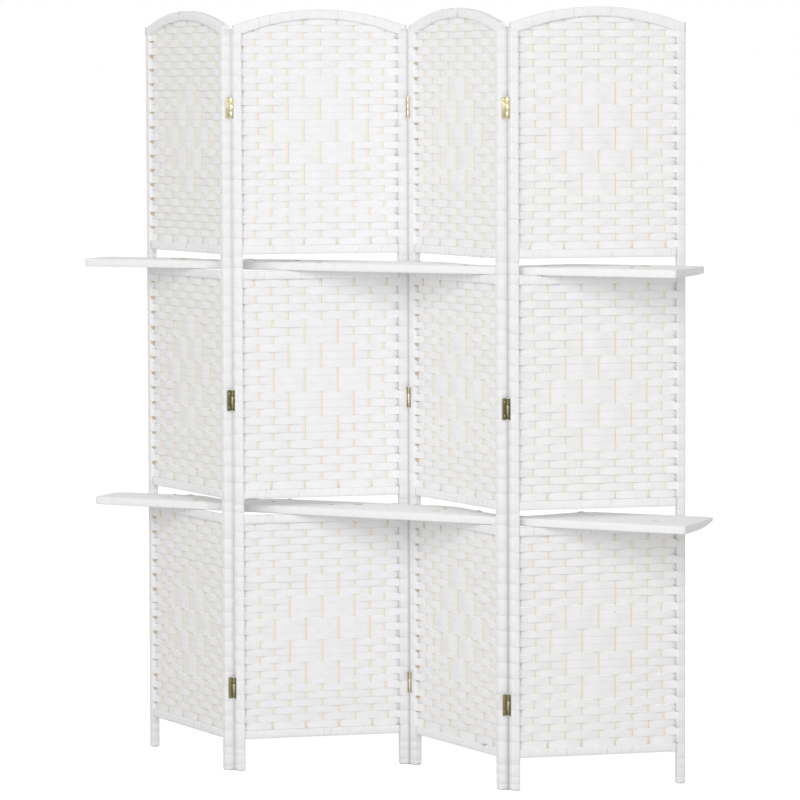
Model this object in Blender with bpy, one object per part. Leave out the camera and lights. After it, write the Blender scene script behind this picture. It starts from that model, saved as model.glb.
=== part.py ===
"""Four-panel folding room divider with woven panels and two long shelves.

The screen stands in a zigzag on the floor plane z = 0. X runs along the row of
panels, the front faces -Y and Z points up. All lengths are metres.
"""
import math

import bmesh
import bpy
from mathutils import Matrix

# Panel frame
panel_count = 4
carrier_panel = 2
row_centre = 0.009
panel_width = 0.394
post_width = 0.020
post_thickness = 0.018
post_edge_radius = 0.004
rail_thickness = 0.016
rail_edge_radius = 0.003
edge_segments = 2
seat_gap = 0.0003

# Heights of one panel, from the floor up
foot_height = 0.071
bottom_rail_height = 0.0185
lower_field_height = 0.464
slot_rail_height = 0.0195
slot_height = 0.037
middle_field_height = 0.469
upper_field_height = 0.4685
arch_rail_height = 0.021
arch_rise = 0.034
arch_end_flat = 0.007
arch_steps = 16
arch_end_steps = 3

# Woven mats: sticks with flat strip passing in front of and behind them
stick_radius = 0.0025
strip_thickness = 0.0015

# Fold of the zigzag at rest, measured from the row line to a panel
fold_angle = math.radians(37)

# Butt hinges on the facing edges of neighbouring posts. The bottom one is measured up from
# the bottom rail, the middle one from the middle field and the top one down from the arch.
bottom_hinge_rise = 0.1145
middle_hinge_rise = 0.200
top_hinge_drop = 0.1635
hinge_height = 0.046
leaf_width = 0.0135
leaf_thickness = 0.0012
pin_side_offset = 0.0018
pin_face_offset = 0.0020
knuckle_radius = 0.0024
knuckle_sides = 8
knuckle_count = 3
knuckle_gap = 0.0003
tongue_inset = 0.0002
pin_radius = 0.0010
pin_bore_radius = 0.0013
bore_margin = 0.0010

# Hinge screw heads, two on each leaf
screw_end_inset = 0.008
screw_sides = 6
screw_head_radius = 0.0019
screw_head_proud = 0.0004

# Shelf boards, in plan: straight front edge, back edge drawn in behind the front ridges
shelf_length = 1.460
shelf_thickness = 0.018
shelf_front_left = -0.020
shelf_front_right = -0.112
shelf_back = 0.094
shelf_front_corner_radius = 0.008
shelf_back_corner_radius = 0.030
shelf_corner_steps = 3
shelf_edge_radius = 0.003
shelf_back_steps = 56
left_waist_centre = -0.423
left_waist_depth = 0.055
left_waist_reach = (0.110, 0.110)
right_waist_centre = 0.317
right_waist_depth = 0.136
right_waist_reach = (0.250, 0.130)
lower_shelf_shift = 0.017
upper_shelf_shift = -0.017


# Levels worked out from the heights above
bottom_rail_top = foot_height + bottom_rail_height
lower_field_top = bottom_rail_top + lower_field_height
lower_slot_floor = lower_field_top + slot_rail_height
lower_slot_top = lower_slot_floor + slot_height
middle_field_floor = lower_slot_top + slot_rail_height
middle_field_top = middle_field_floor + middle_field_height
upper_slot_floor = middle_field_top + slot_rail_height
upper_slot_top = upper_slot_floor + slot_height
upper_field_floor = upper_slot_top + slot_rail_height
arch_spring = upper_field_floor + upper_field_height
hinge_centre_heights = (foot_height + bottom_hinge_rise,
                        middle_field_floor + middle_hinge_rise,
                        arch_spring - top_hinge_drop)

half_width = panel_width / 2
half_thickness = post_thickness / 2
opening_half_width = half_width - post_width
pin_x = half_width + pin_side_offset
pin_y = half_thickness + pin_face_offset
panel_pitch = 2 * (pin_x * math.cos(fold_angle) + pin_y * math.sin(fold_angle))


def clear_scene():
    """Removes every object that the start-up file holds."""
    for item in list(bpy.data.objects):
        bpy.data.objects.remove(item, do_unlink=True)


def make_material(name, colour, roughness, metallic=0.0):
    """A plain Principled material."""
    material = bpy.data.materials.new(name)
    material.use_nodes = True
    shader = material.node_tree.nodes["Principled BSDF"]
    shader.inputs["Base Color"].default_value = (*colour, 1.0)
    shader.inputs["Roughness"].default_value = roughness
    shader.inputs["Metallic"].default_value = metallic
    return material


def add_piece(name, mesh_data, material, parent, offset):
    """Puts a finished bmesh into the scene as one named object under its parent."""
    bmesh.ops.recalc_face_normals(mesh_data, faces=mesh_data.faces)
    mesh = bpy.data.meshes.new(name)
    mesh_data.to_mesh(mesh)
    mesh_data.free()
    mesh.materials.append(material)
    piece = bpy.data.objects.new(name, mesh)
    bpy.context.collection.objects.link(piece)
    piece.parent = parent
    piece.location = offset
    return piece


def add_axis(name, location, angle):
    """An empty on a joint axis, turned with the panel that it carries."""
    axis = bpy.data.objects.new(name, None)
    axis.location = location
    axis.rotation_euler = (0, 0, angle)
    bpy.context.collection.objects.link(axis)
    return axis


def shade_smooth(piece, edge_angle=math.radians(35)):
    """Smooth shading that keeps the edges sharper than the given angle."""
    mesh = piece.data
    mesh.polygons.foreach_set("use_smooth", [True] * len(mesh.polygons))
    mesh.set_sharp_from_angle(angle=edge_angle)


def add_box(mesh_data, low, high):
    """A closed box between two corners; returns its vertices."""
    size = [b - a for a, b in zip(low, high)]
    centre = [(a + b) / 2 for a, b in zip(low, high)]
    placed = Matrix.Translation(centre) @ Matrix.Diagonal((*size, 1.0))
    return bmesh.ops.create_cube(mesh_data, size=1.0, matrix=placed)["verts"]


def round_edges(mesh_data, edges, radius, segments=edge_segments):
    """Rounds the given edges."""
    bmesh.ops.bevel(mesh_data, geom=edges, offset=radius, offset_type="OFFSET",
                    segments=segments, profile=0.5, affect="EDGES", clamp_overlap=True)


def extrude_outline(mesh_data, points, direction):
    """A closed prism: the outline's points, swept along the direction."""
    start = [mesh_data.verts.new(point) for point in points]
    end = [mesh_data.verts.new([a + b for a, b in zip(point, direction)]) for point in points]
    mesh_data.faces.new(start)
    mesh_data.faces.new(end)
    for index in range(len(points)):
        following = (index + 1) % len(points)
        mesh_data.faces.new((start[index], start[following], end[following], end[index]))


def turn_profile(mesh_data, profile, sides, placed):
    """A closed turned solid: (distance, radius) pairs round the local Z axis."""
    rings = []
    for distance, radius in profile:
        ring = []
        for side in range(sides):
            angle = 2 * math.pi * side / sides
            point = (radius * math.cos(angle), radius * math.sin(angle), distance)
            ring.append(mesh_data.verts.new(placed @ Matrix.Translation(point).to_translation()))
        rings.append(ring)
    mesh_data.faces.new(rings[0])
    mesh_data.faces.new(rings[-1])
    for lower, upper in zip(rings, rings[1:]):
        for side in range(sides):
            following = (side + 1) % sides
            mesh_data.faces.new((lower[side], lower[following], upper[following], upper[side]))


def combine(piece, tool_mesh, operation):
    """Joins or cuts a piece with a hidden tool, through a live Boolean modifier."""
    bmesh.ops.recalc_face_normals(tool_mesh, faces=tool_mesh.faces)
    name = "tool_" + operation.lower() + "_" + piece.name
    mesh = bpy.data.meshes.new(name)
    tool_mesh.to_mesh(mesh)
    tool_mesh.free()
    tool = bpy.data.objects.new(name, mesh)
    bpy.context.collection.objects.link(tool)
    tool.parent = piece.parent
    tool.location = piece.location
    tool.hide_render = True
    tool.display_type = "WIRE"
    modifier = piece.modifiers.new(operation.title(), "BOOLEAN")
    modifier.operation = operation
    modifier.solver = "EXACT"
    modifier.object = tool


def arch_line(x, reach):
    """Height above the spring line of a parabola that ends at the reach on either side."""
    share = min(abs(x) / reach, 1.0)
    return arch_rise * (1 - share * share)


def arch_top(x):
    """Height of the arch's upper line, which ends in a short level step over each post."""
    return arch_spring + arch_rail_height + arch_line(x, half_width - arch_end_flat)


def arch_underside(x):
    """Height of the arch's lower line, which springs from the posts' inner faces."""
    return arch_spring + arch_line(x, opening_half_width)


def add_post(mesh_data, side):
    """A wrapped post with rounded edges and foot; side is -1 for left, 1 for right."""
    outer = side * half_width
    inner = side * opening_half_width
    top = arch_spring + arch_rail_height / 2
    verts = add_box(mesh_data, (min(outer, inner), -half_thickness, 0),
                    (max(outer, inner), half_thickness, top))
    rounded = {edge for vert in verts for edge in vert.link_edges
               if min(end.co.z for end in edge.verts) < top / 2}
    round_edges(mesh_data, list(rounded), post_edge_radius)


def make_rail(name, floor, height, material, parent, offset):
    """A straight wrapped rail between the two posts."""
    mesh_data = bmesh.new()
    reach = opening_half_width - seat_gap
    half_depth = rail_thickness / 2
    add_box(mesh_data, (-reach, -half_depth, floor), (reach, half_depth, floor + height))
    long_edges = [edge for edge in mesh_data.edges
                  if abs(edge.verts[0].co.x - edge.verts[1].co.x) > reach]
    round_edges(mesh_data, long_edges, rail_edge_radius)
    rail = add_piece(name, mesh_data, material, parent, offset)
    shade_smooth(rail)


def hoop_stations():
    """Places along the panel where the arched rail has a ring: closer over the posts."""
    stations = [opening_half_width * (2 * step / arch_steps - 1) for step in range(arch_steps + 1)]
    over_post = half_width - arch_end_flat - opening_half_width
    for step in range(1, arch_end_steps + 1):
        x = opening_half_width + over_post * step / arch_end_steps
        stations = [-x] + stations + [x]
    return [-half_width] + stations + [half_width]


def make_hoop(name, material, parent, offset):
    """The outer frame: the arched top rail and the two posts, in one piece."""
    mesh_data = bmesh.new()
    half_depth = half_thickness
    radius = rail_edge_radius
    rings = []
    for x in hoop_stations():
        lower = arch_underside(x)
        upper = arch_top(x)
        rim = ((-half_depth + radius, lower), (-half_depth, lower + radius),
               (-half_depth, upper - radius), (-half_depth + radius, upper),
               (half_depth - radius, upper), (half_depth, upper - radius),
               (half_depth, lower + radius), (half_depth - radius, lower))
        rings.append([mesh_data.verts.new((x, y, z)) for y, z in rim])
    mesh_data.faces.new(rings[0])
    mesh_data.faces.new(rings[-1])
    for left, right in zip(rings, rings[1:]):
        for index in range(len(rim)):
            following = (index + 1) % len(rim)
            mesh_data.faces.new((left[index], left[following], right[following], right[index]))
    hoop = add_piece(name, mesh_data, material, parent, offset)
    posts = bmesh.new()
    for side in (-1, 1):
        add_post(posts, side)
    combine(hoop, posts, "UNION")
    shade_smooth(hoop)


def field_outline(floor, top_line):
    """Outline of a woven field in its own plane, with a gap to the frame all round."""
    reach = opening_half_width - seat_gap
    points = [(reach, floor + seat_gap), (-reach, floor + seat_gap)]
    if top_line is arch_underside:
        for step in range(arch_steps + 1):
            x = reach * (2 * step / arch_steps - 1)
            points.append((x, top_line(x) - seat_gap))
    else:
        points += [(-reach, top_line(0) - seat_gap), (reach, top_line(0) - seat_gap)]
    return points


def make_mat(name, floor, top_line, material, parent, offset):
    """A woven mat with its sticks, as one slab of the mat's full thickness."""
    mesh_data = bmesh.new()
    half_depth = stick_radius + strip_thickness
    points = [(x, -half_depth, z) for x, z in field_outline(floor, top_line)]
    extrude_outline(mesh_data, points, (0, 2 * half_depth, 0))
    add_piece(name, mesh_data, material, parent, offset)


def hinge_frame(end, face, height):
    """Places hinge sizes on a post's edge: X outward, Y towards the pin's face, Z up."""
    return Matrix.Translation((end * half_width, 0, height)) @ Matrix.Diagonal((end, face, 1, 1))


def knuckle_spans(inner):
    """Lower and upper end of each knuckle of a leaf, measured from the hinge's middle."""
    share = hinge_height / knuckle_count
    spans = []
    for index in range(knuckle_count):
        if (index % 2 == 1) == inner:
            floor = index * share - hinge_height / 2
            spans.append((floor + knuckle_gap / 2, floor + share - knuckle_gap / 2))
    return spans


def leaf_outline(inner):
    """Outline of a leaf in its plane: a plate with one tongue for each of its knuckles."""
    far = pin_y - leaf_width
    near = pin_y - knuckle_radius - knuckle_gap
    half = hinge_height / 2
    points = [(near, half), (far, half), (far, -half), (near, -half)]
    for floor, top in knuckle_spans(inner):
        points += [(near, floor + tongue_inset), (pin_y, floor + tongue_inset)]
        points += [(pin_y, top - tongue_inset), (near, top - tongue_inset)]
    return points


def screw_levels(height):
    """Heights of the two screws of a leaf."""
    reach = hinge_height / 2 - screw_end_inset
    return (height - reach, height + reach)


def screw_frame(end, face, height):
    """Frame of one screw, at the middle of the plate: local Z points out of the post's edge."""
    plate_end = pin_y - knuckle_radius - knuckle_gap
    plate_start = pin_y - leaf_width
    centre = (end * half_width, face * (plate_start + plate_end) / 2, height)
    return Matrix.Translation(centre) @ Matrix.Rotation(end * math.pi / 2, 4, "Y")


def make_leaf(name, hinge, height, material, parent, offset):
    """One hinge leaf with its knuckles and screw heads; the outer leaf also holds the pin."""
    end, face, inner = hinge
    placed = hinge_frame(end, face, height)
    pin_line = placed @ Matrix.Translation((pin_side_offset, pin_y, 0))
    plate = bmesh.new()
    points = []
    for y, z in leaf_outline(inner):
        points.append(placed @ Matrix.Translation((seat_gap, y, z)).to_translation())
    extrude_outline(plate, points, (end * leaf_thickness, 0, 0))
    barrels = bmesh.new()
    for floor, top in knuckle_spans(inner):
        profile = [(floor, knuckle_radius), (top, knuckle_radius)]
        turn_profile(barrels, profile, knuckle_sides, pin_line)
    head_top = seat_gap + leaf_thickness + screw_head_proud
    head = [(seat_gap + leaf_thickness / 2, screw_head_radius), (head_top, screw_head_radius)]
    for level in screw_levels(height):
        turn_profile(barrels, head, screw_sides, screw_frame(end, face, level))
    leaf = add_piece(name, plate, material, parent, offset)
    combine(leaf, barrels, "UNION")
    core = bmesh.new()
    if inner:
        reach = hinge_height / 2 + bore_margin
        turn_profile(core, [(-reach, pin_bore_radius), (reach, pin_bore_radius)],
                     knuckle_sides, pin_line)
        combine(leaf, core, "DIFFERENCE")
    else:
        reach = knuckle_spans(inner)[-1][1] - tongue_inset
        turn_profile(core, [(-reach, pin_radius), (reach, pin_radius)], knuckle_sides, pin_line)
        combine(leaf, core, "UNION")
    shade_smooth(leaf, math.radians(50))


def waist_share(x, centre, reach):
    """How far a waist is drawn in at x: 1 at its centre and 0 past its reach."""
    distance = (x - centre) / reach[0 if x < centre else 1]
    if abs(distance) >= 1:
        return 0.0
    return math.cos(math.pi * distance / 2) ** 2


def shelf_back_line(x):
    """The shelf's back edge in plan, at a place along the row."""
    left = left_waist_depth * waist_share(x, left_waist_centre, left_waist_reach)
    right = right_waist_depth * waist_share(x, right_waist_centre, right_waist_reach)
    return shelf_back - left - right


def corner_arc(centre_x, centre_y, radius, start):
    """A quarter round of the outline, anticlockwise from the start angle in quarter turns."""
    points = []
    for step in range(shelf_corner_steps + 1):
        angle = (start + step / shelf_corner_steps) * math.pi / 2
        points.append((centre_x + radius * math.cos(angle), centre_y + radius * math.sin(angle)))
    return points


def shelf_outline():
    """The shelf in plan, anticlockwise from its front left corner."""
    half = shelf_length / 2
    front = shelf_front_corner_radius
    back = shelf_back_corner_radius
    points = corner_arc(-half + front, shelf_front_left + front, front, 2)
    points += corner_arc(half - front, shelf_front_right + front, front, 3)
    points += corner_arc(half - back, shelf_back - back, back, 0)
    for step in range(1, shelf_back_steps):
        x = (half - back) * (1 - 2 * step / shelf_back_steps)
        points.append((x, shelf_back_line(x)))
    points += corner_arc(-half + back, shelf_back - back, back, 1)
    return points


def make_shelf(name, floor, shift, material, axis):
    """A long shelf board through all four panels, resting on the rails under the slots.

    Its axis is the upright middle line of the panel that carries it: as the screen folds,
    every panel's middle stays on one line of the board.
    """
    mesh_data = bmesh.new()
    base = floor + seat_gap
    points = [(x + shift - axis.location.x, y, base) for x, y in shelf_outline()]
    extrude_outline(mesh_data, points, (0, 0, shelf_thickness))
    rims = [edge for edge in mesh_data.edges
            if abs(edge.verts[0].co.z - edge.verts[1].co.z) < seat_gap]
    round_edges(mesh_data, rims, shelf_edge_radius, 1)
    shelf = add_piece(name, mesh_data, material, axis, (0, 0, 0))
    shade_smooth(shelf)


def level_line(height):
    """A straight top line for a field below a level rail."""
    return lambda x: height


def panel_centre(number):
    """Place of a panel's middle along the row."""
    return row_centre + (number - (panel_count + 1) / 2) * panel_pitch


def make_panel(number, materials):
    """One panel with its frame, its woven mats and its half of each hinge."""
    frame_white, weave_white, brass = materials
    name = "panel_" + str(number)
    turn = 1 if number % 2 == 0 else -1
    angle = turn * fold_angle
    centre_x = panel_centre(number)
    # Each hinge is (end of the panel, face with the pin, whether its leaf is the inner one).
    # The ridge hinges fold at the back face and the valley hinge at the front face.
    left_hinge = {2: (-1, 1, True), 3: (-1, -1, True), 4: (-1, 1, True)}.get(number)
    right_hinge = {1: (1, 1, False), 2: (1, -1, False), 3: (1, 1, False)}.get(number)
    carried_at = {1: right_hinge, 3: left_hinge, 4: left_hinge}.get(number)
    axis_x, axis_y = (carried_at[0] * pin_x, carried_at[1] * pin_y) if carried_at else (0, 0)
    axis_place = (centre_x + axis_x * math.cos(angle) - axis_y * math.sin(angle),
                  axis_x * math.sin(angle) + axis_y * math.cos(angle), 0)
    axis = add_axis(name + "_axis", axis_place, angle)
    offset = (-axis_x, -axis_y, 0)
    make_hoop(name + "_outer_frame", frame_white, axis, offset)
    rails = (("bottom_rail", foot_height, bottom_rail_height),
             ("lower_slot_bottom_rail", lower_field_top, slot_rail_height),
             ("lower_slot_top_rail", lower_slot_top, slot_rail_height),
             ("upper_slot_bottom_rail", middle_field_top, slot_rail_height),
             ("upper_slot_top_rail", upper_slot_top, slot_rail_height))
    for label, floor, height in rails:
        make_rail(name + "_" + label, floor, height, frame_white, axis, offset)
    mats = (("lower_weave", bottom_rail_top, level_line(lower_field_top)),
            ("middle_weave", middle_field_floor, level_line(middle_field_top)),
            ("upper_weave", upper_field_floor, arch_underside))
    for label, floor, top_line in mats:
        make_mat(name + "_" + label, floor, top_line, weave_white, axis, offset)
    heights = zip(("bottom", "middle", "top"), hinge_centre_heights)
    for place, height in heights:
        if left_hinge:
            make_leaf(name + "_left_" + place + "_hinge_leaf", left_hinge, height,
                      brass, axis, offset)
        if right_hinge:
            make_leaf(name + "_right_" + place + "_hinge_leaf", right_hinge, height,
                      brass, axis, offset)


def build():
    """Builds the whole divider."""
    clear_scene()
    frame_white = make_material("white_wrapped_frame", (0.86, 0.86, 0.88), 0.75)
    weave_white = make_material("white_woven_strip", (0.84, 0.84, 0.87), 0.80)
    shelf_white = make_material("white_wrapped_shelf", (0.86, 0.86, 0.87), 0.75)
    brass = make_material("brass", (0.72, 0.55, 0.28), 0.35, 1.0)
    for number in range(1, panel_count + 1):
        make_panel(number, (frame_white, weave_white, brass))
    shelves = (("lower_shelf", lower_slot_floor, lower_shelf_shift),
               ("upper_shelf", upper_slot_floor, upper_shelf_shift))
    for name, floor, shift in shelves:
        axis = add_axis(name + "_axis", (panel_centre(carrier_panel), 0, 0), 0)
        make_shelf(name, floor, shift, shelf_white, axis)


build()
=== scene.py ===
import math
from functools import partial

import bpy
import numpy as np
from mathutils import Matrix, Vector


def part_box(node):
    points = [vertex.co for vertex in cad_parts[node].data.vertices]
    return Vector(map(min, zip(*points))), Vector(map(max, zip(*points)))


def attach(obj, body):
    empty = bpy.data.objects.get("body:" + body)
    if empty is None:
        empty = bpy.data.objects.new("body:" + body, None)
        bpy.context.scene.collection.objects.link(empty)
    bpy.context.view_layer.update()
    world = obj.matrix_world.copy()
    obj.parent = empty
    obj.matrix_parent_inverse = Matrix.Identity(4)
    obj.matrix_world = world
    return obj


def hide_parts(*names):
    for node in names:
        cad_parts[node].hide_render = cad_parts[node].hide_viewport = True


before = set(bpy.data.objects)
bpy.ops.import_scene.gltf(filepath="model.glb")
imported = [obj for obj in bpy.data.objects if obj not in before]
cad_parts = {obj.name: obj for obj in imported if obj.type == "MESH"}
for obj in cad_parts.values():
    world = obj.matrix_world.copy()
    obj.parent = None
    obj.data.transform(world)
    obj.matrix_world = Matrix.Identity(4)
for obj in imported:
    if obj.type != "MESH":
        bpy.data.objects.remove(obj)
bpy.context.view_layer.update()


# The viewpoint: a long lens in front of the screen and to its right, a little above the
# middle of its height.
camera_data = bpy.data.cameras.new("viewpoint")
camera_data.sensor_width = 36
camera_data.lens = 182.62
camera_data.shift_y = -0.120
camera_data.clip_end = 100
viewpoint = bpy.data.objects.new("viewpoint", camera_data)
viewpoint.location = (3.6393, -8.2161, 1.528)
viewpoint.rotation_euler = (math.radians(86.922), math.radians(0.180), math.radians(23.665))
bpy.context.scene.collection.objects.link(viewpoint)
bpy.context.scene.camera = viewpoint
bpy.context.scene.view_settings.view_transform = "Standard"


# The lamp: broad, soft and a little cool, in front of the screen, a little to the right
# and higher up.
lamp_data = bpy.data.lights.new("soft_lamp", "AREA")
lamp_data.shape = "RECTANGLE"
lamp_data.size = 4.0
lamp_data.size_y = 3.0
lamp_data.energy = 145
lamp_data.color = (0.94, 0.96, 1.0)
lamp = bpy.data.objects.new("soft_lamp", lamp_data)
lamp_aim = np.array([0.0, 0.0, 0.95])
lamp_turn, lamp_rise, lamp_distance = math.radians(11), math.radians(20), 6.0
lamp.location = (lamp_aim[0] + lamp_distance * math.sin(lamp_turn) * math.cos(lamp_rise),
                 lamp_aim[1] - lamp_distance * math.cos(lamp_turn) * math.cos(lamp_rise),
                 lamp_aim[2] + lamp_distance * math.sin(lamp_rise))
lamp.rotation_euler = (math.pi / 2 - lamp_rise, 0, lamp_turn)
bpy.context.scene.collection.objects.link(lamp)


# The room: even light all round. Seen directly or mirrored it is plain white; on the
# screen itself it is dimmer and a little warm, so that shaded places look warm.
room = bpy.data.worlds.new("white_room")
room.use_nodes = True
bpy.context.scene.world = room
room_nodes, room_links = room.node_tree.nodes, room.node_tree.links
room_light = room_nodes["Background"]
seen_by = room_nodes.new("ShaderNodeLightPath")
seen_or_mirrored = room_nodes.new("ShaderNodeMath")
seen_or_mirrored.operation = "MAXIMUM"
room_links.new(seen_by.outputs["Is Camera Ray"], seen_or_mirrored.inputs[0])
room_links.new(seen_by.outputs["Is Glossy Ray"], seen_or_mirrored.inputs[1])
room_tint = room_nodes.new("ShaderNodeMix")
room_tint.data_type = "RGBA"
room_tint.inputs[6].default_value = (1.0, 0.983, 0.945, 1.0)
room_tint.inputs[7].default_value = (1.0, 1.0, 1.0, 1.0)
room_links.new(seen_or_mirrored.outputs["Value"], room_tint.inputs["Factor"])
room_links.new(room_tint.outputs[2], room_light.inputs["Color"])
room_level = room_nodes.new("ShaderNodeMapRange")
room_level.inputs["To Min"].default_value = 0.628
room_level.inputs["To Max"].default_value = 1.0
room_links.new(seen_or_mirrored.outputs["Value"], room_level.inputs["Value"])
room_links.new(room_level.outputs["Result"], room_light.inputs["Strength"])


# The floor: plain and white, like the paper behind the screen, with only faint shadows.
floor_reach = 60
floor_corners = [(x * floor_reach, y * floor_reach, 0) for x, y in ((-1, -1), (1, -1), (1, 1), (-1, 1))]
floor_mesh = bpy.data.meshes.new("floor")
floor_mesh.from_pydata(floor_corners, [], [(0, 1, 2, 3)])
floor = bpy.data.objects.new("floor", floor_mesh)
bpy.context.scene.collection.objects.link(floor)
floor_white = bpy.data.materials.new("floor_white")
floor_white.use_nodes = True
floor_nodes, floor_links = floor_white.node_tree.nodes, floor_white.node_tree.links
floor_paint = floor_nodes["Principled BSDF"]
floor_paint.inputs["Base Color"].default_value = (0.80, 0.80, 0.80, 1.0)
floor_paint.inputs["Roughness"].default_value = 1.0
floor_paint.inputs["Specular IOR Level"].default_value = 0.0
floor_seen = floor_nodes.new("ShaderNodeLightPath")
floor_lift = floor_nodes.new("ShaderNodeMath")
floor_lift.operation = "MULTIPLY"
floor_lift.inputs[1].default_value = 0.59
floor_links.new(floor_seen.outputs["Is Camera Ray"], floor_lift.inputs[0])
floor_paint.inputs["Emission Color"].default_value = (0.96, 0.97, 1.0, 1.0)
floor_links.new(floor_lift.outputs["Value"], floor_paint.inputs["Emission Strength"])
floor_mesh.materials.append(floor_white)


# The posts: two square timber uprights to each panel, 20 by 18 mm with rounded edges. The
# weaver's paper strip turns round each post in sleeves two rows high, glued one on the
# next, and swells out at the corner that meets the next panel's post.
half_width = 0.197
post_width = 0.020
post_depth = 0.018
post_radius = 0.004
post_top = 1.6545
opening = half_width - post_width
arch_spring = 1.643
arch_rise = 0.034
arch_width = 0.021
arch_reach = 0.190
fold = math.radians(37)
panels = (1, 2, 3, 4)
# Rows in each woven field, whether its first row lies behind the second stick, and the
# first row of the diamond in the field's middle
upper_rows = {1: (31, 0, 11), 2: (31, 1, 10), 3: (30, 1, 10), 4: (31, 0, 11)}
middle_rows = {1: (27, 0, 7), 2: (26, 0, 7), 3: (29, 0, 9), 4: (27, 1, 8)}
lower_rows = {1: (28, 0, 9), 2: (28, 0, 9), 3: (27, 0, 7), 4: (27, 1, 8)}
fields = {"lower": lower_rows, "middle": middle_rows, "upper": upper_rows}
hinge_levels = (0.1855, 0.8295, 1.4795)
# The pins' line: how far it stands off a post's side and off its front or back
pin_side = 0.0018
pin_stand = 0.0020
# The sleeves' swelling leaves out a hinge's height, and comes back over one short step
hinge_clear = 0.0235
hinge_step = 0.0006
chance = np.random.default_rng(7)


def placed(points, number):
    """Points of a panel in its own plane (x along it, y to its back, z up) turned about
    the upright line through its middle by the panel's turn, then moved to that line."""
    low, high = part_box(f"panel_{number}_bottom_rail")
    turn = fold if number % 2 == 0 else -fold
    x, y, z = points[..., 0], points[..., 1], points[..., 2]
    return np.stack([(low.x + high.x) / 2 + x * math.cos(turn) - y * math.sin(turn),
                     (low.y + high.y) / 2 + x * math.sin(turn) + y * math.cos(turn), z], -1)


def arch_line(x, reach):
    """Height of an arch above its ends: a parabola that falls to nothing at the reach."""
    return arch_rise * (1 - np.minimum(np.abs(x) / reach, 1.0) ** 2)


def arch_under(x):
    """Lower line of an arch, which springs from the posts' inner sides."""
    return arch_spring + arch_line(x, opening)


def arch_over(x):
    """Upper line of an arch, which ends a little inside the posts' outer sides."""
    return arch_spring + arch_width + arch_line(x, arch_reach)


def field_span(name):
    """Lower and upper level of a woven field, read off the rails that bound it. The rows
    of the upper field are set out to 5.5 mm above the top of the arch's lower line."""
    if name == "upper":
        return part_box("panel_2_upper_slot_top_rail")[1].z, arch_spring + arch_rise + 0.0055
    below, above = {"lower": ("bottom_rail", "lower_slot_bottom_rail"),
                    "middle": ("lower_slot_top_rail", "upper_slot_bottom_rail")}[name]
    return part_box("panel_2_" + below)[1].z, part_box("panel_2_" + above)[0].z


def row_levels(name, number):
    """Lower and upper level of each row of a field, from the top row down: even steps,
    except that the arch pushes the top six rows of an upper field down, by a square
    law that reaches 4 mm in the first row."""
    low, high = field_span(name)
    rows = fields[name][number][0]
    line = high - np.arange(rows + 1) * (high - low) / rows
    if name == "upper":
        line = line - 0.004 * np.clip((6 - np.arange(rows + 1)) / 6, 0, 1) ** 2
    return line[1:], line[:-1]


def grid_piece(name, grids, values, material, body):
    """A mesh from a stack of tubes, shape (tubes, along, around, 3). Each ring is joined
    to the next by quads, round and round, and each end is closed by one flat face.
    values maps attribute names to arrays of the same shape without the last axis."""
    count, along, around = grids.shape[:3]
    index = np.arange(count * along * around).reshape(count, along, around)
    wrapped = np.concatenate([index, index[:, :, :1]], 2)
    quads = np.stack([wrapped[:, :-1, :-1], wrapped[:, :-1, 1:],
                      wrapped[:, 1:, 1:], wrapped[:, 1:, :-1]], -1)
    sides = quads.reshape(-1, 4).tolist()
    caps = index[:, 0][:, ::-1].tolist() + index[:, -1].tolist()
    mesh = bpy.data.meshes.new(name)
    mesh.from_pydata(grids.reshape(-1, 3).tolist(), [], sides + caps)
    for label, numbers in values.items():
        layer = mesh.attributes.new(label, "FLOAT", "POINT")
        everywhere = np.broadcast_to(numbers, grids.shape[:3])
        layer.data.foreach_set("value", everywhere.astype(np.float32).ravel())
    mesh.polygons.foreach_set("use_smooth", np.arange(len(sides) + len(caps)) < len(sides))
    mesh.materials.append(material)
    piece = bpy.data.objects.new(name, mesh)
    bpy.context.scene.collection.objects.link(piece)
    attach(piece, body)
    return piece


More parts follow.
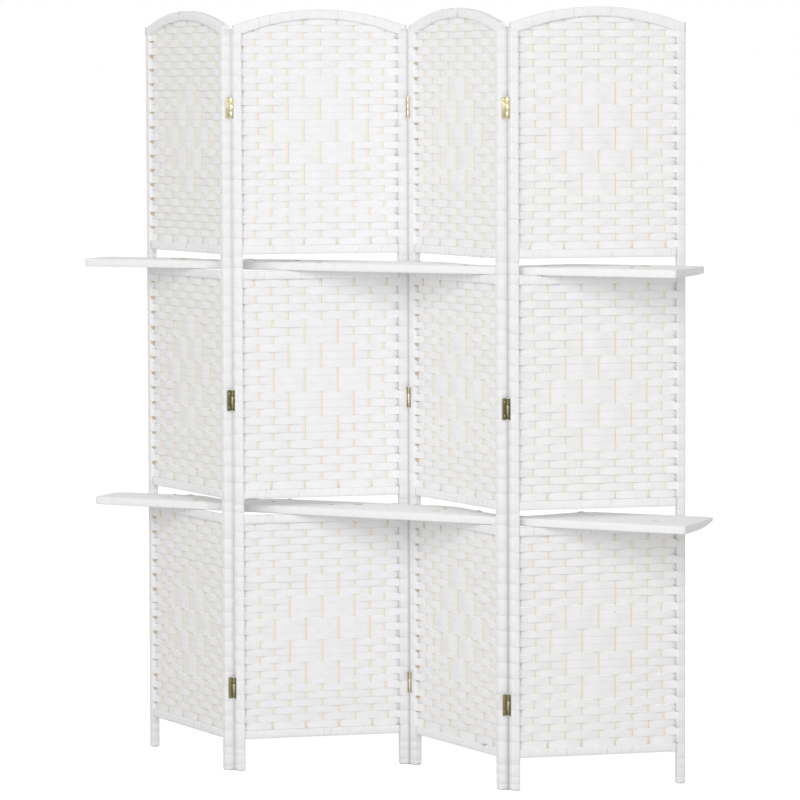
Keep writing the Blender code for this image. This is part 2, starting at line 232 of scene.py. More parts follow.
def painted_paper(name, colour, crease_depth, cloud_scale):
    """Painted paper strip: white, with faint creases drawn out along the strip (noise
    stretched on the lay attributes), cloudy patches where the paint is thinner (noise in
    place), and a dark brown wherever the attribute for stains and painted shade is high,
    which paints grime and seams in some places and shade in crevices in others."""
    material = bpy.data.materials.new(name)
    material.use_nodes = True
    nodes, links = material.node_tree.nodes, material.node_tree.links
    paint = nodes["Principled BSDF"]
    paint.inputs["Roughness"].default_value = 0.68
    paint.inputs["Specular IOR Level"].default_value = 0.3
    lay = nodes.new("ShaderNodeCombineXYZ")
    for socket, label, gain in (("X", "along", 45.0), ("Y", "across", 700.0), ("Z", "strip", 7.3)):
        read = nodes.new("ShaderNodeAttribute")
        read.attribute_name = label
        scaled = nodes.new("ShaderNodeMath")
        scaled.operation = "MULTIPLY"
        scaled.inputs[1].default_value = gain
        links.new(read.outputs["Fac"], scaled.inputs[0])
        links.new(scaled.outputs["Value"], lay.inputs[socket])
    creases = nodes.new("ShaderNodeTexNoise")
    creases.inputs["Scale"].default_value = 1.0
    creases.inputs["Detail"].default_value = 3.0
    links.new(lay.outputs["Vector"], creases.inputs["Vector"])
    place = nodes.new("ShaderNodeTexCoord")
    clouds = nodes.new("ShaderNodeTexNoise")
    clouds.inputs["Scale"].default_value = cloud_scale
    clouds.inputs["Detail"].default_value = 4.0
    links.new(place.outputs["Object"], clouds.inputs["Vector"])
    both = nodes.new("ShaderNodeMath")
    both.operation = "MULTIPLY"
    links.new(creases.outputs["Fac"], both.inputs[0])
    links.new(clouds.outputs["Fac"], both.inputs[1])
    shade = nodes.new("ShaderNodeValToRGB")
    shade.color_ramp.elements[0].position = 0.10
    shade.color_ramp.elements[0].color = (colour[0] * 0.96, colour[1] * 0.955, colour[2] * 0.945, 1.0)
    shade.color_ramp.elements[1].position = 0.30
    shade.color_ramp.elements[1].color = (*colour, 1.0)
    links.new(both.outputs["Value"], shade.inputs["Fac"])
    # Darkened towards a dark brown by the attribute for stains and painted shade
    stain_and_shade = nodes.new("ShaderNodeAttribute")
    stain_and_shade.attribute_name = "stain_and_shade"
    stained_and_shaded = nodes.new("ShaderNodeMix")
    stained_and_shaded.data_type = "RGBA"
    links.new(stain_and_shade.outputs["Fac"], stained_and_shaded.inputs["Factor"])
    links.new(shade.outputs["Color"], stained_and_shaded.inputs[6])
    stained_and_shaded.inputs[7].default_value = (0.24, 0.21, 0.165, 1.0)
    links.new(stained_and_shaded.outputs[2], paint.inputs["Base Color"])
    relief = nodes.new("ShaderNodeBump")
    relief.inputs["Strength"].default_value = 0.5
    relief.inputs["Distance"].default_value = crease_depth
    links.new(creases.outputs["Fac"], relief.inputs["Height"])
    links.new(relief.outputs["Normal"], paint.inputs["Normal"])
    return material


wrap_white = painted_paper("wrap_white", (0.93, 0.93, 0.945), 0.00018, 60.0)


def notch_levels(number):
    """Lower and upper level of every row in which the strip comes from behind the posts,
    so that a notch is left in front beside each post, from the lowest one up. Rows that
    end more than 12 mm above the arch's spring leave none."""
    found = []
    for name in fields:
        below, above = row_levels(name, number)
        behind = (np.arange(1, len(above) + 1) + fields[name][number][1]) % 2 == 0
        behind &= above < arch_spring + 0.012
        found.append(np.stack([below[behind], above[behind]], -1)[::-1])
    return np.concatenate(found)


def sleeve_section(side, flare):
    """Section of a sleeve: a rounded rectangle, anticlockwise, 32 points: four on each
    corner, then four on each side. Its corner on the outer side, at the back for flare 1
    or at the front for flare -1, has a second form: a sharp one that reaches just past
    the line of the hinges' pins."""
    quarter = np.arange(4) / 3 * math.pi / 2
    sleeve_gap = 0.0002
    past_pins = 0.0001
    half = np.array([post_width, post_depth]) / 2 - sleeve_gap
    plain, swollen = [], []
    for turn, (sx, sy) in enumerate(((1, 1), (-1, 1), (-1, -1), (1, -1))):
        angle = quarter + turn * math.pi / 2
        ring = np.stack([np.cos(angle), np.sin(angle)], -1)
        corner = np.array([sx, sy]) * (half - post_radius) + post_radius * ring
        bulge = np.array([sx, sy]) * (half + (pin_side + past_pins, pin_stand + past_pins)) + 0.0002 * ring
        plain.append(corner)
        swollen.append(bulge if sx == side and sy == flare else corner)
    filled = []
    share = np.array([0.12, 0.33, 0.67, 0.88])[:, None]
    for corners in (plain, swollen):
        following = corners[1:] + corners[:1]
        sides = [last[3] + (after[0] - last[3]) * share for last, after in zip(corners, following)]
        filled.append(np.concatenate([np.array(corners), np.array(sides)], 1).reshape(32, 2))
    return filled


def sleeve_rings(number, side):
    """Rings of a post's sleeves from the foot up: height, how far each is set in and how
    dark it is. Each sleeve starts at full size over the one below and shrinks a little
    upwards, and the seam between the two is dark. The foot is rounded and soiled."""
    notches = notch_levels(number)
    seams = notches[:, 1] if side < 0 else notches[:, 0]
    # Seams at the feet and at the slots, where no notch sets the level
    others = np.array([0.012, 0.033, 0.053, 0.577, 0.601, 1.124, 1.148])
    seams = np.sort(np.concatenate([seams, others + chance.uniform(-0.004, 0.004, len(others))]))
    strength = chance.uniform(0.0, 0.6, len(seams)) ** 2
    at_seams = (seams[:, None] + [-0.0010, -0.0003, 0.0002, 0.0010]).ravel()
    at_hinges = [-hinge_clear - hinge_step, -hinge_clear, hinge_clear, hinge_clear + hinge_step]
    at_hinges = (np.array(hinge_levels)[:, None] + at_hinges).ravel()
    plain_rings = np.concatenate([[0.0045, post_top], at_hinges])
    no_change = np.zeros(len(plain_rings))
    heights = np.concatenate([at_seams, [0.0, 0.0006, 0.0020], plain_rings])
    inset = np.concatenate([np.tile([0.00010, 0.00045, 0.00045, -0.00005], len(seams)),
                            [0.0030, 0.0018, 0.0006], no_change])
    dark = np.concatenate([(strength[:, None] * [0, 1, 1, 0]).ravel(), [0.6, 0.35, 0.1], no_change])
    order = np.argsort(heights)
    return heights[order], inset[order], dark[order]


# Posts that meet another panel's post, with the side of their pins: 1 back, -1 front
jointed = {(1, 1): 1, (2, -1): 1, (2, 1): -1, (3, -1): -1, (3, 1): 1, (4, -1): 1}
# The crevice between the first two panels gets the lightest painted shade
lightest_crevice_shade = ((1, 1), (2, -1))
# Posts painted a little darker all over, and by how much
darker_posts = {(2, 1): 0.07, (4, 1): 0.04}
for number in panels:
    for label, side in (("left", -1), ("right", 1)):
        flare = jointed.get((number, side), 0)
        plain, swollen = sleeve_section(side, flare)
        heights, inset, dark = sleeve_rings(number, side)
        to_hinge = np.abs(heights[:, None] - hinge_levels).min(1)
        off_hinge = np.clip((to_hinge - hinge_clear) / hinge_step, 0, 1)[:, None]
        section = plain[None] + (swollen - plain)[None] * off_hinge[:, :, None]
        # The swollen corner fills the crevice, so it doesn't shrink with the sleeve
        pins = np.array([side, flare]) * (post_width / 2 + pin_side, post_depth / 2 + pin_stand)
        from_pins = np.linalg.norm(swollen - pins, axis=1)
        in_crevice = (from_pins < 0.0008) * abs(flare) * off_hinge
        section = section * (1 - (1 - in_crevice) * inset[:, None] / (post_depth / 2))[:, :, None]
        patchy = 0.55 + 0.45 * np.sin(np.arange(len(plain)) * 0.9 + heights[:, None] * 400)
        # Painted shade in the crevice where two posts meet, darker lower down; the posts listed
        #         # as darker are also painted a little darker all over
        crevice_shade_reach = 0.0075 if flare > 0 else 0.0042
        crevice_shade_strength = 0.28 if (number, side) in lightest_crevice_shade else 0.42
        grime_and_shade = np.clip(1 - from_pins / crevice_shade_reach, 0, 1) * off_hinge * abs(flare) * crevice_shade_strength
        grime_and_shade = grime_and_shade * (1.25 - 0.35 * heights[:, None] / post_top) + darker_posts.get((number, side), 0)
        grid = np.stack([side * (half_width - post_width / 2) + section[..., 0], section[..., 1],
                         np.broadcast_to(heights[:, None], section.shape[:2])], -1)[None]
        values = {"along": np.arange(len(plain)) * 0.003, "across": heights[None, :, None],
                  "strip": number * 3.0 + side, "stain_and_shade": (dark[:, None] * patchy + grime_and_shade)[None]}
        post = grid_piece(f"panel_{number}_{label}_post", placed(grid, number), values,
                          wrap_white, f"panel_{number}")
        if side < 0:
            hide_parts(f"panel_{number}_outer_frame")


# The posts' folds: where a sleeve narrows beside a notch, its paper is folded under, and
# its unpainted brown side shows in the notch: as a wedge that hangs on the inner side of a
# left post, or as a crescent along the notch's floor at a right post.
bare_paper = painted_paper("bare_paper", (0.71, 0.55, 0.37), 0.0002, 220.0)
plain_lay = {"along": 0.0, "across": 0.0, "strip": 1.0, "stain_and_shade": 0.0}
# Share of notches with a full crescent, panel by panel
full_crescents = {1: 0.6, 2: 0.3, 3: 0.6, 4: 0.85}
for number in panels:
    notches = notch_levels(number)
    count = len(notches)
    size = chance.uniform(0.20, 0.65, count) * np.where(chance.random(count) < 0.85, 1, 0.3)
    size = size * (1.0 if number in (1, 3) else 0.6)
    reach = (notches[:, 1] - notches[:, 0]) * size
    rings = []
    for stand in (-0.0006, 0.0007):
        # Four corners, each with its depth and how far down the wedge it lies
        corners = [np.stack([np.full(count, -opening - stand), np.full(count, y),
                             notches[:, 1] - 0.0004 - reach * share], -1)
                   for y, share in ((-0.0080, 0.0), (0.0030, 0.0), (0.0030, 1.0), (-0.0065, 0.6))]
        rings.append(np.stack(corners, 1))
    grid_piece(f"panel_{number}_left_post_folds", placed(np.stack(rings, 1), number), plain_lay,
               bare_paper, f"panel_{number}")
    # A crescent starts on the strip behind, falls along a power law and ends on the
    # post's front; it is thickest in its middle
    share = np.linspace(0, 1, 9)[None, :, None]
    full = chance.random(count) < full_crescents[number]
    tall = (notches[:, 1] - notches[:, 0]) * chance.uniform(0.25, 0.60, count) * np.where(full, 1, 0.25)
    width = chance.uniform(0.0008, 0.0016, count) * np.where(full, 1, 0.3)
    low_line = notches[:, 0, None, None] + 0.0002 + tall[:, None, None] * (1 - share) ** 2.2
    half = 0.0001 + width[:, None, None] * np.sin(np.pi * share ** 0.8)
    z = low_line + half * np.array([0.0, 0.0, 1.0, 1.0])
    y = 0.0012 - 0.0107 * share ** 0.8 + np.array([-0.0003, 0.0003, 0.0003, -0.0003])
    x = opening - 0.0090 + 0.0140 * share
    grid = np.stack([np.broadcast_to(x, z.shape), np.broadcast_to(y, z.shape), z], -1)
    grid_piece(f"panel_{number}_right_post_folds", placed(grid, number), plain_lay,
               bare_paper, f"panel_{number}")


# The arched top rails and the straight cross rails: timber bars between the posts, bound
# with narrow strip. Each turn laps a little over the one before it, so a fine slanting
# line shows every 15 to 50 mm, and no two turns are quite alike.
def lap_steps(start, end, shortest, longest):
    """Places of the steps: running sum of turn widths drawn between the two limits, with
    none in the last 8 mm."""
    widths = chance.uniform(shortest, longest, int((end - start) / shortest) + 2)
    places = start + np.cumsum(widths)
    return places[places < end - 0.008]


def lapped(start, end, stations, steps, thinning):
    """Places along a bar or a board where its section is set: its stations, and four at
    each step. For each place: whether it is on a step, which step, on which turn of the
    binding it lies, and how much thinner the binding is there. From one step to the next
    the binding thins evenly, then starts again at full size. The first and the last turn
    reach past the ends."""
    past_end = 0.01
    places = np.concatenate([stations, (steps[:, None] + [-0.0008, -0.0002, 0.0002, 0.0008]).ravel()])
    at_step = np.concatenate([np.zeros(len(stations)), np.tile([0, 1, 1, 0], len(steps))])
    which = np.concatenate([np.zeros(len(stations), int), np.repeat(np.arange(len(steps)), 4)])
    order = np.argsort(places)
    places, at_step, which = places[order], at_step[order], which[order]
    bounds = np.concatenate([[start - past_end], steps, [end + past_end]])
    turn = np.clip(np.searchsorted(bounds, places) - 1, 0, len(bounds) - 2)
    thin = thinning * (1 - (places - bounds[turn]) / (bounds[turn + 1] - bounds[turn]))
    return places, at_step, which, turn, thin


def bound_bar(start, end, lower, upper, depth, stations, steps, slant):
    """A bar bound with strip, along x from start to end, between the lower and the upper
    line, which are functions of x. Its section is a rounded rectangle. A step slants: x
    is moved by the slant times the height above the bar's middle, less near the ends."""
    radius = 0.003
    stations = np.concatenate([[start, end], stations])
    places, at_step, which, turn, thin = lapped(start, end, stations, steps, 0.00025)
    tall = upper(0.0) - lower(0.0)
    angle = (np.arange(3) / 2 + np.arange(4)[:, None]).ravel() * math.pi / 2
    away_y = np.repeat([1, -1, -1, 1], 3)
    away_z = np.repeat([1, 1, -1, -1], 3)
    y = away_y * (depth / 2 - radius) + radius * np.cos(angle)
    rise = away_z * (tall / 2 - radius) + radius * np.sin(angle)
    lean = np.clip(np.minimum(places - start, end - places) / 0.02, 0, 1)
    x = places[:, None] + (slant[which] * lean)[:, None] * rise
    z = np.where(away_z > 0, upper(x) + rise - tall / 2 - thin[:, None],
                 lower(x) + rise + tall / 2 + thin[:, None])
    y = y[None, :] - away_y * thin[:, None]
    strength = chance.uniform(0.0, 0.75, len(steps) + 1)[which] ** 2
    middle = chance.uniform(-1.1, 1.1, len(steps) + 1)[which] * tall / 2
    spread = np.exp(-((rise[None, :] - middle[:, None]) / (0.75 * tall)) ** 2)
    values = {"along": np.arange(len(angle)) * 0.004, "across": x[None],
              "strip": turn[None, :, None] * 1.7,
              "stain_and_shade": ((at_step * strength)[:, None] * spread)[None]}
    return np.stack([x, y, z], -1)[None], values


def level_line(level, x):
    """A straight rail's lower or upper line: the same level at every x."""
    return level + 0 * x


# A straight rail runs half a millimetre into the posts, and an arch ends as much short of
# their outer sides
let_in = 0.0005
rail_depth = 0.016
for number in panels:
    steps = lap_steps(-opening, opening, 0.014, 0.050)
    grid, values = bound_bar(-half_width + let_in, half_width - let_in, arch_under, arch_over, post_depth,
                             np.linspace(-0.19, 0.19, 41), steps,
                             chance.uniform(-0.1, 0.35, len(steps) + 1))
    grid_piece(f"panel_{number}_arched_rail", placed(grid, number), values, wrap_white,
               f"panel_{number}")
    for rail in ("bottom_rail", "lower_slot_bottom_rail", "lower_slot_top_rail",
                 "upper_slot_bottom_rail", "upper_slot_top_rail"):
        low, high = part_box(f"panel_{number}_{rail}")
        steps = lap_steps(-opening, opening, 0.012, 0.045)
        grid, values = bound_bar(-opening - let_in, opening + let_in, partial(level_line, low.z),
                                 partial(level_line, high.z), rail_depth, np.linspace(-0.17, 0.17, 9),
                                 steps, chance.uniform(0.05, 0.45, len(steps) + 1))
        piece = grid_piece(f"panel_{number}_{rail}_binding", placed(grid, number), values, wrap_white,
                           f"panel_{number}")
        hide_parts(f"panel_{number}_{rail}")


# The sticks: nine pale split canes in each woven field, 5 mm wide and 2 mm thick, let
# into the rails above and below. The strips pull the outer ones in towards the middle.
stick_half_width = 0.0025
stick_half_depth = 0.0010
stick_spacing = 0.0383
stick_let_in = 0.001
cane = bpy.data.materials.new("pale_cane")
cane.use_nodes = True
cane_nodes, cane_links = cane.node_tree.nodes, cane.node_tree.links
cane_surface = cane_nodes["Principled BSDF"]
cane_surface.inputs["Roughness"].default_value = 0.5
cane_place = cane_nodes.new("ShaderNodeTexCoord")
cane_stretch = cane_nodes.new("ShaderNodeMapping")
cane_stretch.inputs["Scale"].default_value = (900, 900, 14)
cane_grain = cane_nodes.new("ShaderNodeTexNoise")
cane_grain.inputs["Scale"].default_value = 1.0
cane_grain.inputs["Detail"].default_value = 4.0
cane_tone = cane_nodes.new("ShaderNodeValToRGB")
cane_tone.color_ramp.elements[0].position = 0.25
cane_tone.color_ramp.elements[0].color = (0.90, 0.79, 0.58, 1.0)
cane_tone.color_ramp.elements[1].position = 0.75
cane_tone.color_ramp.elements[1].color = (0.95, 0.89, 0.75, 1.0)
cane_links.new(cane_place.outputs["Object"], cane_stretch.inputs["Vector"])
cane_links.new(cane_stretch.outputs["Vector"], cane_grain.inputs["Vector"])
cane_links.new(cane_grain.outputs["Fac"], cane_tone.inputs["Fac"])
cane_links.new(cane_tone.outputs["Color"], cane_surface.inputs["Base Color"])


def stick_line(column, level, low, high):
    """Place of a stick along the panel at a level: even spacing, drawn in by up to 11 mm
    in the outer columns, as one half wave over the field's height."""
    offset = column - 5
    pull = 0.011 * (np.abs(offset) / 4) ** 2.1 * np.sign(offset)
    share = np.clip((level - low) / (high - low), 0, 1)
    return offset * stick_spacing - pull * np.sin(np.pi * share) ** 0.8


for number in panels:
    for name in fields:
        low, high = field_span(name)
        column = np.arange(1, 10)[:, None]
        share = np.linspace(0, 1, 25)
        top = high + 0 * column
        if name == "upper":
            top = arch_under((column - 5) * stick_spacing)
        level = low - stick_let_in + share * (top - low + 2 * stick_let_in)
        angle = np.arange(10) / 10 * 2 * np.pi
        x = stick_line(column, level, low, high)[:, :, None] + stick_half_width * np.cos(angle)
        grid = np.stack([x, np.broadcast_to(stick_half_depth * np.sin(angle), x.shape),
                         np.broadcast_to(level[:, :, None], x.shape)], -1)
        grid_piece(f"panel_{number}_{name}_sticks", placed(grid, number), {}, cane,
                   f"panel_{number}")


# The woven strips: flat painted paper strip about 16 mm wide, carried in front of and
# behind the sticks. Rows change places from one to the next, except for the diamond in
# the middle of each field, where three rows together pass the same sticks.
strip_thickness = 0.0007
# How far the strips reach up behind the arch
arch_tuck = 0.0015
weave_white = painted_paper("weave_white", (0.93, 0.93, 0.945), 0.00015, 45.0)


def lies_behind(row, column, phase, first):
    """Whether a strip passes behind a stick, so that the stick shows: on every other
    stick, changing from row to row. In the middle row of each of the diamond's five
    bands the rule is turned over for the one, two or three sticks on each side of the
    middle one, so that three rows agree there."""
    behind = (row + phase + column) % 2 == 0
    reach = np.select([row == first + 3 * band for band in range(5)], (1, 2, 3, 2, 1), 0)
    turned = (reach > 0) & (np.abs(column - 5) <= reach)
    return behind ^ turned


def strip_path(row, phase, first, level, low, high):
    """Knots of each strip's path in plan, one line of knots per strip. At each stick it
    is in front or behind; at a post it lies on the face that it turns round."""
    column = np.arange(1, 10)
    behind = lies_behind(row[:, None], column[None, :], phase, first)
    offset = stick_half_depth + strip_thickness / 2 + 0.0001
    side = np.where(behind, offset, -offset)
    x = stick_line(column[None, :], level[:, None], low, high)
    # Three knots at each post: far in on its face, near its edge, and just off the edge,
    # where a strip that goes behind the post lies nearer to the sticks
    reach = opening + np.array([0.0150, 0.0030, -0.0004])
    left = np.broadcast_to(-reach, (len(row), 3))
    right = np.broadcast_to(reach[::-1], (len(row), 3))
    far_in, near_edge = 0.0081, 0.0089
    off_edge_front, off_edge_left, off_edge_right = 0.0040, 0.0012, 0.0015
    over = np.where(behind[:, [0, 8]], -1.0, 1.0)
    y_left = over[:, :1] * np.where(over[:, :1] < 0, [far_in, near_edge, off_edge_front],
                                    [far_in, near_edge, off_edge_left])
    y_right = over[:, 1:] * np.where(over[:, 1:] < 0, [off_edge_front, near_edge, far_in],
                                     [off_edge_right, near_edge, far_in])
    return np.concatenate([left, x, right], 1), np.concatenate([y_left, side, y_right], 1)


def between_knots(knots, shares):
    """Values along the strips: between two knots, each share of the way to the next one,
    then the last knot."""
    steps = knots[:, 1:] - knots[:, :-1]
    filled = (knots[:, :-1, None] + steps[:, :, None] * shares).reshape(len(knots), -1)
    return np.concatenate([filled, knots[:, -1:]], 1)


for number in panels:
    for name in fields:
        low, high = field_span(name)
        rows, phase, first = fields[name][number]
        row = np.arange(1, rows + 1)
        below, above = row_levels(name, number)
        x_knot, y_knot = strip_path(row, phase, first, (below + above) / 2, low, high)
        # Between sticks a strip follows half a cosine wave; it runs straight to the posts
        share = np.arange(5) / 5
        wave = np.tile((1 - np.cos(np.pi * share)) / 2, (x_knot.shape[1] - 1, 1))
        wave[[0, 1, 2, -3, -2, -1]] = share
        x = between_knots(x_knot, share)
        y = between_knots(y_knot, wave)
        # Each row's edges: its share of the field less a gap, widest where two bands of
        # the diamond meet
        line_number = np.arange(rows + 1)
        in_diamond = (line_number >= first - 2) & (line_number <= first + 13)
        band_edge = ((line_number - first) % 3 == 1) & in_diamond
        gap = np.where(chance.random(rows + 1) < 0.16, 0.00035, 0.00002)
        gap = gap * chance.uniform(0.5, 1.5, rows + 1)
        gap = np.where(band_edge, chance.uniform(0.00025, 0.0005, rows + 1), gap)
        drift = chance.uniform(-0.0004, 0.0004, (rows + 1, 2))
        line = drift[:, :1] + (drift[:, 1:] - drift[:, :1]) * (x[:1] / opening + 1) / 2
        top_edge = above[:, None] + line[:-1] - gap[:-1, None]
        low_edge = below[:, None] + line[1:] + gap[1:, None]
        # Round the strip: the front face from its upper edge down, then the back face up;
        # a strip is a little bowed, so that its edges lie further back than its middle
        across = np.array([1.0, 0.93, 0.0, -0.93, -1.0, -1.0, 0.0, 1.0])
        face = np.array([-1.0] * 5 + [1.0] * 3)
        half = (top_edge - low_edge) / 2
        z = ((top_edge + low_edge) / 2)[:, :, None] + across * half[:, :, None]
        if name == "upper":
            under_arch = arch_under(x)[:, :, None] + arch_tuck
            z = np.minimum(z, under_arch + 0.0003 * across)
        bow = 0.00018 * (across ** 2 - 1)
        grid = np.stack([np.broadcast_to(x[:, :, None], z.shape),
                         y[:, :, None] + strip_thickness / 2 * face + bow, z], -1)
        # The strips' edges are darkened at random row by row: the bare brown paper of their cut edges, and
        # painted shade in the crevices between rows
        edge_brown_and_shade = chance.uniform(0.0, 0.6, rows) ** 2
        values = {"along": x[:, :, None], "across": across[None, None] * 0.008,
                  "strip": (row * 2.3 + number * 11)[:, None, None],
                  "stain_and_shade": edge_brown_and_shade[:, None, None] * (np.abs(across) == 1)}
        values = {key: np.broadcast_to(value, z.shape) for key, value in values.items()}
        if name == "upper":
            # Rows that the arch hides, or nearly hides, are left out
            seen = (arch_under(x) > low_edge + arch_tuck).any(1)
            grid, values = grid[seen], {key: value[seen] for key, value in values.items()}
        piece = grid_piece(f"panel_{number}_{name}_strips", placed(grid, number), values, weave_white,
                           f"panel_{number}")
        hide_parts(f"panel_{number}_{name}_weave")


# The shelf boards: two long boards 18 mm thick, bound across with the same strip. The
# front edge is straight, and the back edge is drawn in behind the two front ridges.
shelf_half = 0.730
shelf_front_left = -0.020
shelf_front_right = -0.112
shelf_back = 0.094
# The back edge's waists: middle, depth, and reach to the left and to the right
left_waist = (-0.423, 0.055, 0.110, 0.110)
right_waist = (0.317, 0.136, 0.250, 0.130)


def back_edge(x):
    """Back edge of a board in plan: a straight line less two waists, each a squared
    cosine that falls to nothing at its reach on either side of its middle."""
    line = np.full_like(x, shelf_back)
    for middle, depth, reach_left, reach_right in (left_waist, right_waist):
        distance = (x - middle) / np.where(x < middle, reach_left, reach_right)
        line = line - depth * np.where(np.abs(distance) < 1, np.cos(np.pi * distance / 2) ** 2, 0)
    return line


def rounding(distance, radius):
    """How far a face is set in at a distance from an edge that is rounded: the gap
    between a quarter circle of the radius and its corner."""
    into = np.clip(radius - distance, 0, radius)
    return radius - np.sqrt(np.maximum(radius ** 2 - into ** 2, 0))


def front_edge(x):
    """Front edge of a board in plan: a straight line between the fronts of its ends."""
    return np.interp(x, (-shelf_half, shelf_half), (shelf_front_left, shelf_front_right))


def lap_crescents(count, left_end, right_end, top):
    """Loose laps: places on a board's top where a lap of the binding has come loose, half
    of them at the back edge, and its bare brown side stands up as a thin crescent along
    the board. It starts under the surface and rises by half a sine wave."""
    share = np.linspace(0, 1, 9)
    middle = loosening.uniform(left_end + 0.03, right_end - 0.03, count)[:, None]
    x = middle + loosening.uniform(0.009, 0.029, count)[:, None] * (share - 0.5)
    across = loosening.uniform(0.15, 0.85, count)[:, None]
    slant = loosening.uniform(-0.6, 0.6, count)[:, None] * (x - middle)
    front, back = front_edge(x), back_edge(x) - 0.0035
    at_back = (loosening.random(count) < 0.5)[:, None]
    y = np.where(at_back, back, front + (back - front) * across + slant)
    sunk = 0.0009
    height = loosening.uniform(0.0007, 0.0018, count)[:, None, None] * np.sin(np.pi * share)[:, None]
    z = top - sunk + (sunk + height) * np.array([0.0, 0.0, 1.0, 1.0])
    y = y[:, :, None] + np.array([-0.0003, 0.0003, 0.0003, -0.0003])
    return np.stack([np.broadcast_to(x[:, :, None], z.shape), y, z], -1)


# The binding is thicker at some ends than at others, so each board's ends lie a few
# millimetres off the plain board's ends, and the lower board's back right corner is thin.
# For each board: how far it is shifted along the row, how much longer it is at its left and
# its right end, and how far its underside rises at that corner
boards = {"lower_shelf": (0.017, 0.006, -0.002, 0.013), "upper_shelf": (-0.017, -0.005, 0.011, 0.003)}
loose_laps = {"lower_shelf": 20, "upper_shelf": 13}
loosening = np.random.default_rng(3)
edge_radius = 0.003
least_corner = 0.0045
corner_length = 0.06
for name, (shift, more_left, more_right, corner_rise) in boards.items():
    low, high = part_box(name)
    left_end, right_end = -shelf_half - more_left, shelf_half + more_right
    steps = lap_steps(left_end, right_end, 0.024, 0.040)
    ends = np.array([0, 0.0004, 0.0012, 0.003, 0.006, 0.010, 0.016, 0.023, 0.030])
    stations = np.concatenate([left_end + ends, right_end - ends, np.linspace(-0.69, 0.69, 60)])
    places, at_step, which, turn, thin = lapped(left_end, right_end, stations, steps, 0.0003)
    to_end = np.minimum(places - left_end, right_end - places)
    front = (front_edge(places) + rounding(to_end, 0.008) + thin)[:, None]
    back = (back_edge(places) - rounding(to_end, 0.030) - thin)[:, None]
    round_end = (rounding(to_end, 0.002) + thin)[:, None]
    # Round the board: up the front edge, back over the top, down the back edge, under;
    # then the other way round, so that its faces point outwards
    arc = np.arange(4) / 3 * np.pi / 2
    inset = edge_radius * (1 - np.concatenate([np.cos(arc[::-1]), np.cos(arc)]))
    lift = edge_radius * (1 - np.sin(arc))
    lift = np.concatenate([lift[::-1], high.z - low.z - lift])
    y_top = front + (back - front) * np.array([0.25, 0.5, 0.75])
    up = np.where(lift > (high.z - low.z) / 2, -1, 1)
    z_edge = low.z + lift[None, :] + round_end * up
    z_top = np.broadcast_to(high.z - round_end, y_top.shape)
    z_under = np.broadcast_to(low.z + round_end, y_top.shape)
    y = np.concatenate([front + inset, y_top, back - inset[::-1], y_top[:, ::-1]], 1)[:, ::-1]
    z = np.concatenate([z_edge, z_top, z_edge[:, ::-1], z_under], 1)[:, ::-1]
    # The underside rises towards the back right corner, by the square of the distance along
    # the board and its fourth power across it
    toward = np.clip((places - right_end + corner_length) / corner_length, 0, 1)[:, None] ** 2
    toward = toward * np.clip((y - front) / (back - front), 0, 1) ** 4
    risen = np.minimum(z + corner_rise * toward, high.z - round_end - least_corner)
    z = np.where(z < (low.z + high.z) / 2, risen, z)
    x = np.broadcast_to(places[:, None] + shift, y.shape)
    strength = chance.uniform(0.0, 0.5, len(steps) + 1)[which] ** 3
    patchy = np.clip(np.sin(y * 60 + which[:, None] * 2.1), 0, 1)
    values = {"along": y[None], "across": x[None], "strip": turn[None, :, None] * 1.3,
              "stain_and_shade": ((at_step * strength)[:, None] * patchy)[None]}
    board = grid_piece(f"{name}_binding", np.stack([x, y, z], -1)[None], values, wrap_white,
                       name)
    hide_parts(name)
    laps = lap_crescents(loose_laps[name], left_end, right_end, high.z) + (shift, 0, 0)
    grime_and_shade = loosening.uniform(0.0, 0.45, loose_laps[name])[:, None, None]
    grid_piece(f"{name}_loose_laps", laps, {**plain_lay, "stain_and_shade": grime_and_shade}, bare_paper,
               name)


# The hinges: small brass-plated butt hinges, three on each line between two panels. Each
# # leaf is a flat plate with one or two rolled knuckles on a common pin, held by two
# # round-headed slotted screws. The plating's colour runs from pale brass to dark olive:
# # partly tarnish, and partly painted reflection of dark surroundings, which makes the
# # hinges at mid-height darkest.
pin_face = post_depth / 2 + pin_stand
knuckle_radius = 0.0024
leaf_width = 0.0135
leaf_skin = (0.0003, 0.0015)
hinge_half = 0.023
around = 24
# Outline of a screw's head: distance out of the plate's face, and radius
dome = ((-0.0004, 0.0019), (0.00005, 0.0019), (0.0002, 0.00175),
        (0.00035, 0.0013), (0.00042, 0.0007), (0.00044, 0.0001))
brass = bpy.data.materials.new("plated_brass")
brass.use_nodes = True
brass_nodes, brass_links = brass.node_tree.nodes, brass.node_tree.links
brass_surface = brass_nodes["Principled BSDF"]
brass_surface.inputs["Metallic"].default_value = 0.75
brass_place = brass_nodes.new("ShaderNodeTexCoord")
brass_cloud = brass_nodes.new("ShaderNodeTexNoise")
brass_cloud.inputs["Scale"].default_value = 260.0
brass_cloud.inputs["Detail"].default_value = 5.0
